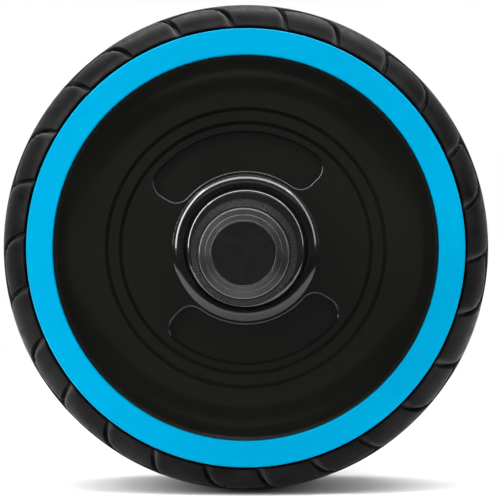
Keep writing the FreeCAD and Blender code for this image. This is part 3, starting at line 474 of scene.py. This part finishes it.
def tyre_finish():
    finish = moulded_finish(
        "tyre_black_rubber", [(0.0026, 0.0025, 0.0025), (0.0102, 0.0100, 0.0098)],
        gloss=(0.32, 0.54), cloud_mm=9, grain_mm=0.5, grain_depth_mm=0.018, specular=0.06)
    tree = finish.node_tree
    shader = tree.nodes["Principled BSDF"]
    rubber = shader.inputs["Base Color"].links[0].from_socket
    # painted highlight: the lug edge ahead of each groove is coloured lighter, for the light that the edge
    # catches
    edge_highlight = add_range(tree, skin_layer(tree, "painted_edge_highlight"), LUG_SHADE, EDGE_HIGHLIGHT_SHADE, start=0.0, end=1.0)
    # painted shade: the groove floors are coloured darker, for the shade that falls inside the grooves
    sunk = add_range(tree, skin_layer(tree, "groove_share"), 1.0, GROOVE_PAINTED_SHADE, start=PAINTED_SHADE_FROM, end=PAINTED_SHADE_TO)
    shade = tree.nodes.new("ShaderNodeMath")
    shade.operation = "MULTIPLY"
    tree.links.new(edge_highlight, shade.inputs[0])
    tree.links.new(sunk, shade.inputs[1])
    tint = tree.nodes.new("ShaderNodeVectorMath")
    tint.operation = "SCALE"
    tree.links.new(rubber, tint.inputs[0])
    tree.links.new(shade.outputs[0], tint.inputs["Scale"])
    tree.links.new(tint.outputs["Vector"], shader.inputs["Base Color"])
    return finish


tyre_rubber = tyre_finish()

# %% [markdown]
# ## Turning the lug pair round the axle
# The tree makes as many points as there are lug pairs, all on the axle, and puts one copy on
# each, turned a step further. The copies are made real and their shared edges welded, so the
# tyre is one closed skin.

# %% Geometry Nodes: the tread round the wheel
def new_tree(name, inputs):
    tree = bpy.data.node_groups.new(name, "GeometryNodeTree")
    tree.interface.new_socket("Geometry", in_out="INPUT", socket_type="NodeSocketGeometry")
    sockets = {}
    for label, kind in inputs:
        sockets[label] = tree.interface.new_socket(label, in_out="INPUT", socket_type=kind).identifier
    tree.interface.new_socket("Geometry", in_out="OUTPUT", socket_type="NodeSocketGeometry")
    return tree, tree.nodes.new("NodeGroupInput"), tree.nodes.new("NodeGroupOutput"), sockets


def finish_tree(tree, start, last, end):
    """Realize Instances, smooth shading and the finish, as every tree here ends."""
    real = tree.nodes.new("GeometryNodeRealizeInstances")
    smooth = tree.nodes.new("GeometryNodeSetShadeSmooth")
    paint = tree.nodes.new("GeometryNodeSetMaterial")
    tree.links.new(last, real.inputs["Geometry"])
    tree.links.new(real.outputs["Geometry"], smooth.inputs["Geometry"])
    tree.links.new(smooth.outputs["Geometry"], paint.inputs["Geometry"])
    tree.links.new(start.outputs["Finish"], paint.inputs["Material"])
    tree.links.new(paint.outputs["Geometry"], end.inputs["Geometry"])


def tread_tree():
    tree, start, end, sockets = new_tree("tread_round_wheel", [
        ("Lug Pairs", "NodeSocketInt"), ("Finish", "NodeSocketMaterial")])
    link = tree.links.new
    points = tree.nodes.new("GeometryNodeMeshLine")
    points.inputs["Offset"].default_value = (0, 0, 0)
    link(start.outputs["Lug Pairs"], points.inputs["Count"])
    step = tree.nodes.new("ShaderNodeMath")
    step.operation = "DIVIDE"
    step.inputs[0].default_value = 2 * math.pi
    link(start.outputs["Lug Pairs"], step.inputs[1])
    turn = tree.nodes.new("ShaderNodeMath")
    turn.operation = "MULTIPLY"
    link(tree.nodes.new("GeometryNodeInputIndex").outputs["Index"], turn.inputs[0])
    link(step.outputs[0], turn.inputs[1])
    angles = tree.nodes.new("ShaderNodeCombineXYZ")
    link(turn.outputs[0], angles.inputs["Y"])
    rotation = tree.nodes.new("FunctionNodeEulerToRotation")
    link(angles.outputs["Vector"], rotation.inputs["Euler"])
    copies = tree.nodes.new("GeometryNodeInstanceOnPoints")
    link(points.outputs["Mesh"], copies.inputs["Points"])
    link(start.outputs["Geometry"], copies.inputs["Instance"])
    link(rotation.outputs["Rotation"], copies.inputs["Rotation"])
    finish_tree(tree, start, copies.outputs["Instances"], end)
    return tree, sockets


def run_tree(piece, tree, sockets, values, name):
    """Sets the tree's inputs, makes the result a plain mesh and removes the starting piece."""
    modifier = piece.modifiers.new(tree.name, "NODES")
    modifier.node_group = tree
    for label, value in values.items():
        modifier[sockets[label]] = value
    evaluated = piece.evaluated_get(bpy.context.evaluated_depsgraph_get())
    mesh = bpy.data.meshes.new_from_object(evaluated)
    mesh.name = name
    bpy.data.objects.remove(piece)
    result = put_in_scene(name, weld_and_turn_out(mesh))
    print(f"{name}: {len(mesh.vertices)} points, {sum(len(p.vertices) - 2 for p in mesh.polygons)} triangles")
    return result


tyre = run_tree(lug_pair, *tread_tree(), {"Lug Pairs": LUG_PAIRS, "Finish": tyre_rubber}, "tyre_tread")
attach(tyre, "wheel")
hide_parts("tyre")

# %% [markdown]
# ## The grips
# Each grip is a rubber sleeve pushed over the handle. Its wheel end has a round bead, its hold
# is straight, and its far end draws in to the cap. The mould was spark-eroded, which leaves a
# dense stipple of tiny domes that stops the hands from slipping. The sleeve is an outline with
# softened corners, turned about the axle.

# %% Outline with softened corners
def softened_outline(corners, steps=6):
    """Closed outline; each corner (radius, place, round) is bent into a small curve."""
    spots = np.array([corner[:2] for corner in corners], float)
    outline = []
    for index, (spot, (_, _, bend)) in enumerate(zip(spots, corners)):
        before, after = spots[index - 1] - spot, spots[(index + 1) % len(spots)] - spot
        if bend == 0:
            outline.append(spot)
            continue
        first = spot + before / np.linalg.norm(before) * bend
        last = spot + after / np.linalg.norm(after) * bend
        for t in np.linspace(0, 1, steps):
            outline.append((1 - t) ** 2 * first + 2 * t * (1 - t) * spot + t ** 2 * last)
    return np.array(outline)


def turned_mesh(name, outline, around):
    """The outline (radius, place) turned once about the axle as a closed skin."""
    turns = np.arange(around) * 2 * math.pi / around
    radius, place = outline[:, :1], outline[:, 1:]
    along_axle = np.repeat(place, around, axis=1)
    points = np.stack([radius * np.cos(turns), along_axle, radius * np.sin(turns)], axis=-1)
    index = np.arange(len(outline) * around).reshape(len(outline), around)
    down, right = np.roll(index, -1, axis=0), np.roll(index, -1, axis=1)
    faces = np.stack([index, right, np.roll(down, -1, axis=1), down], axis=-1)
    mesh = bpy.data.meshes.new(name)
    mesh.from_pydata(points.reshape(-1, 3).tolist(), [], faces.reshape(-1, 4).tolist())
    return weld_and_turn_out(mesh)


# %% Sleeves of the grips
GRIP_AROUND = 96
STIPPLE_MARGIN = 0.8 * MM
GRIP_RADIUS, GRIP_END_DRAW = 17.5 * MM, 2.2 * MM
GRIP_TAPER, BEAD_WIDTH, BEAD_SLOPE = 15.0 * MM, 3.5 * MM, 3.5 * MM
CORE_RADIUS = 11.53 * MM
BEAD_BEND, SLOPE_BEND, END_BEND, TAPER_ROWS = 1.4 * MM, 1.2 * MM, 0.5 * MM, 13


def sleeve_outline(start, end, sign):
    bead_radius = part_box("grip_left")[1].x
    taper = [(GRIP_RADIUS - GRIP_END_DRAW * share ** 2, end - GRIP_TAPER * (1 - share), 0.0)
             for share in np.arange(TAPER_ROWS) / TAPER_ROWS]
    corners = [
        (CORE_RADIUS, start, 0.0), (bead_radius, start, BEAD_BEND),
        (bead_radius, start + BEAD_WIDTH, SLOPE_BEND),
        (GRIP_RADIUS, start + BEAD_WIDTH + BEAD_SLOPE, SLOPE_BEND),
        *taper, (GRIP_RADIUS - GRIP_END_DRAW, end, END_BEND), (CORE_RADIUS, end, 0.0),
    ]
    return softened_outline([(radius, sign * place, bend) for radius, place, bend in corners])


def sleeve(side, sign):
    low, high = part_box(f"grip_{side}")
    start, end = sorted((abs(low.y), abs(high.y)))
    mesh = turned_mesh(f"grip_sleeve_{side}", sleeve_outline(start, end, sign), GRIP_AROUND)
    centres = np.array([face.center for face in mesh.polygons])
    place = np.abs(centres[:, 1])
    radius = np.hypot(centres[:, 0], centres[:, 2])
    past_bead = place > start + BEAD_WIDTH + BEAD_SLOPE
    held = past_bead & (place < end - STIPPLE_MARGIN) & (radius > CORE_RADIUS + MM)
    layer = mesh.attributes.new("stippled", "BOOLEAN", "FACE")
    layer.data.foreach_set("value", held)
    print(f"sleeve {side}: {start / MM:.1f} to {end / MM:.1f} mm, {held.sum()} faces to stipple")
    return put_in_scene(f"grip_sleeve_{side}", mesh)


# %% [markdown]
# The stipple follows the sleeve's surface. A tree scatters points over the stippled faces, no
# two closer than a set distance, and sets a flattened dome on each along the surface's normal.
# Each dome is a coarse ball of ten faces, because thousands of them have to stay light.

# %% Geometry Nodes: stipple on the grips
DOMES_PER_M2 = 8.0e6
DOME_SEGMENTS, DOME_RINGS, DOME_SIZES = 5, 2, (0.75, 1.15)
DOME_SPACING, DOME_RADIUS, DOME_FLATNESS = 0.68 * MM, 0.33 * MM, 0.5
FIRST_SEED = 11


def pick(sockets, name):
    return next(socket for socket in sockets if socket.name == name and socket.enabled)


def stipple_tree():
    tree, start, end, sockets = new_tree("stipple_on_grip", [
        ("Dome Spacing", "NodeSocketFloat"), ("Dome Radius", "NodeSocketFloat"),
        ("Dome Flatness", "NodeSocketFloat"), ("Seed", "NodeSocketInt"), ("Finish", "NodeSocketMaterial")])
    link = tree.links.new
    held = tree.nodes.new("GeometryNodeInputNamedAttribute")
    held.data_type = "BOOLEAN"
    held.inputs["Name"].default_value = "stippled"
    scatter = tree.nodes.new("GeometryNodeDistributePointsOnFaces")
    scatter.distribute_method = "POISSON"
    scatter.inputs["Density Max"].default_value = DOMES_PER_M2
    link(start.outputs["Geometry"], scatter.inputs["Mesh"])
    link(pick(held.outputs, "Attribute"), scatter.inputs["Selection"])
    link(start.outputs["Dome Spacing"], scatter.inputs["Distance Min"])
    link(start.outputs["Seed"], scatter.inputs["Seed"])
    dome = tree.nodes.new("GeometryNodeMeshUVSphere")
    dome.inputs["Segments"].default_value = DOME_SEGMENTS
    dome.inputs["Rings"].default_value = DOME_RINGS
    link(start.outputs["Dome Radius"], dome.inputs["Radius"])
    size = tree.nodes.new("FunctionNodeRandomValue")
    pick(size.inputs, "Min").default_value = DOME_SIZES[0]
    pick(size.inputs, "Max").default_value = DOME_SIZES[1]
    link(start.outputs["Seed"], pick(size.inputs, "Seed"))
    flat = tree.nodes.new("ShaderNodeMath")
    flat.operation = "MULTIPLY"
    link(pick(size.outputs, "Value"), flat.inputs[0])
    link(start.outputs["Dome Flatness"], flat.inputs[1])
    scale = tree.nodes.new("ShaderNodeCombineXYZ")
    link(pick(size.outputs, "Value"), scale.inputs["X"])
    link(pick(size.outputs, "Value"), scale.inputs["Y"])
    link(flat.outputs[0], scale.inputs["Z"])
    copies = tree.nodes.new("GeometryNodeInstanceOnPoints")
    link(scatter.outputs["Points"], copies.inputs["Points"])
    link(scatter.outputs["Rotation"], copies.inputs["Rotation"])
    link(dome.outputs["Mesh"], copies.inputs["Instance"])
    link(scale.outputs["Vector"], copies.inputs["Scale"])
    both = tree.nodes.new("GeometryNodeJoinGeometry")
    link(start.outputs["Geometry"], both.inputs["Geometry"])
    link(copies.outputs["Instances"], both.inputs["Geometry"])
    finish_tree(tree, start, both.outputs["Geometry"], end)
    return tree, sockets


stipple = stipple_tree()
for seed, (side, sign) in enumerate(SIDES.items()):
    grip = run_tree(sleeve(side, sign), *stipple, {
        "Dome Spacing": DOME_SPACING, "Dome Radius": DOME_RADIUS, "Dome Flatness": DOME_FLATNESS,
        "Seed": FIRST_SEED + seed, "Finish": grip_rubber}, f"grip_stippled_{side}")
    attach(grip, "handles")
    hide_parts(f"grip_{side}")

# %% [markdown]
# ## Studio
# The wheel stands on a plain white table top. Black gloss shows little but what it mirrors, so
# it is lit with narrow strips: one high in front and one on each side, well off the camera's
# line. Every rounded edge catches a thin bright line from them, while the flat dish mirrors only
# the dim room. A wider strip behind keeps the table white under the wheel.

# %% Table top
TABLE_RADIUS, TABLE_MIDDLE, TABLE_CORNERS = 0.45, 0.21, 96
turns = np.arange(TABLE_CORNERS) * 2 * math.pi / TABLE_CORNERS
floor_mesh = bpy.data.meshes.new("studio_floor")
rim = [(TABLE_RADIUS * math.cos(turn), TABLE_MIDDLE + TABLE_RADIUS * math.sin(turn), -TYRE_RADIUS)
       for turn in turns]
floor_mesh.from_pydata(rim, [], [tuple(range(TABLE_CORNERS))])
floor = put_in_scene("studio_floor", floor_mesh)
floor_mesh.materials.append(moulded_finish(
    "studio_white_floor", [(0.90, 0.90, 0.90), (0.92, 0.92, 0.92)],
    gloss=(0.7, 0.8), cloud_mm=200, grain_mm=2, grain_depth_mm=0.01, specular=0.1))


# %% Light boxes
def soft_box(name, place, aim, width, height, brightness):
    lamp = bpy.data.lights.new(name, "AREA")
    lamp.shape = "RECTANGLE"
    lamp.size, lamp.size_y = width, height
    lamp.energy = brightness * math.pi * width * height
    box = bpy.data.objects.new(name, lamp)
    box.location = place
    box.rotation_euler = (Vector(aim) - Vector(place)).to_track_quat("-Z", "Y").to_euler()
    bpy.context.scene.collection.objects.link(box)
    return box


soft_box("strip_overhead", place=(0.0, -0.48, 0.84), aim=(0.0, -0.06, 0.0),
         width=1.4, height=0.22, brightness=12.5)
soft_box("strip_behind", place=(0.0, 0.40, 0.85), aim=(0.0, 0.20, 0.0),
         width=1.2, height=0.40, brightness=6.0)
soft_box("strip_left", place=(-0.74, -0.52, 0.40), aim=(0.0, -0.05, 0.05),
         width=0.20, height=0.9, brightness=20.0)
soft_box("strip_right", place=(0.74, -0.52, 0.42), aim=(0.0, -0.05, 0.05),
         width=0.20, height=0.84, brightness=8.0)
soft_box("strip_front", place=(0.0, -0.90, 0.50), aim=(0.0, 0.0, 0.0),
         width=1.2, height=0.08, brightness=1.4)
print("light strips: overhead, behind, left, right, front")

# %% [markdown]
# A broad fill from the camera's side brings up the colours. It stands behind a polarising
# sheet, so it lights the pigment but leaves no glare on the gloss.

# %% Fill light
fill = soft_box("polarised_fill", place=(0.0, -1.6, 0.35), aim=(0.0, 0.0, 0.0),
                width=1.5, height=1.5, brightness=0.4)
fill.visible_glossy = False

# %% [markdown]
# The room is what the gloss mirrors: dim bands round the sides, a lighter ceiling, a pale floor
# below the table and a white backdrop behind the wheel. To the camera it is plain white all
# round, as behind a cut-out product shot.

# %% Room
ROOM_STOPS = [
    (0.0, 0.95), (0.26, 0.95), (0.36, 0.04), (0.44, 0.04), (0.47, 0.16), (0.53, 0.16), (0.56, 0.04),
    (0.63, 0.04), (0.68, 0.20), (0.80, 0.25), (1.0, 0.25),
]
BACKDROP_FROM, BACKDROP_TO = 0.1, 0.5
WHITE = (1, 1, 1, 1)
world = bpy.data.worlds.new("studio_room")
bpy.context.scene.world = world
world.use_nodes = True
room = world.node_tree
room.nodes.clear()
heading = room.nodes.new("ShaderNodeTexCoord").outputs["Generated"]
split = room.nodes.new("ShaderNodeSeparateXYZ")
room.links.new(heading, split.inputs["Vector"])
level = room.nodes.new("ShaderNodeMapRange")
level.inputs["From Min"].default_value = -1.0
room.links.new(split.outputs["Z"], level.inputs["Value"])
shades = add_shades(room, level.outputs["Result"], [(at, (grey, grey, grey)) for at, grey in ROOM_STOPS])
behind = add_range(room, split.outputs["Y"], 0.0, 1.0, start=BACKDROP_FROM, end=BACKDROP_TO)
backdrop = room.nodes.new("ShaderNodeMix")
backdrop.data_type = "RGBA"
mix_inputs = {socket.identifier: socket for socket in backdrop.inputs}
room.links.new(behind, mix_inputs["Factor_Float"])
room.links.new(shades, mix_inputs["A_Color"])
mix_inputs["B_Color"].default_value = WHITE
around = next(socket for socket in backdrop.outputs if socket.identifier == "Result_Color")
seen_by_gloss = room.nodes.new("ShaderNodeBackground")
seen_by_camera = room.nodes.new("ShaderNodeBackground")
room.links.new(around, seen_by_gloss.inputs["Color"])
seen_by_camera.inputs["Color"].default_value = WHITE
choose = room.nodes.new("ShaderNodeMixShader")
room.links.new(room.nodes.new("ShaderNodeLightPath").outputs["Is Camera Ray"], choose.inputs[0])
room.links.new(seen_by_gloss.outputs[0], choose.inputs[1])
room.links.new(seen_by_camera.outputs[0], choose.inputs[2])
room.links.new(choose.outputs[0], room.nodes.new("ShaderNodeOutputWorld").inputs["Surface"])
bpy.context.scene.view_settings.view_transform = "Standard"

# %% [markdown]
# ## Camera
# A product shot is taken with a long lens from well back, so circles stay circles. This one
# stands a metre from the wheel, a hair above the axle and a hair to the front of the wheel.

# %% Camera
CAMERA_DISTANCE = 1.0
CAMERA_RISE, CAMERA_SWING = math.radians(0.77), math.radians(0.27)
LENS_MM, SENSOR_MM = 185.8, 36.0
SHIFT = (0.00756, -0.00694)
camera = bpy.data.cameras.new("photo_camera")
camera.sensor_width, camera.lens = SENSOR_MM, LENS_MM
camera.shift_x, camera.shift_y = SHIFT
stand = bpy.data.objects.new("photo_camera", camera)
stand.location = (CAMERA_DISTANCE * math.cos(CAMERA_RISE) * math.sin(CAMERA_SWING),
                  -CAMERA_DISTANCE * math.cos(CAMERA_RISE) * math.cos(CAMERA_SWING),
                  CAMERA_DISTANCE * math.sin(CAMERA_RISE))
stand.rotation_euler = (-stand.location).to_track_quat("-Z", "Y").to_euler()
bpy.context.scene.collection.objects.link(stand)
bpy.context.scene.camera = stand
print("camera at", [round(value, 4) for value in stand.location])
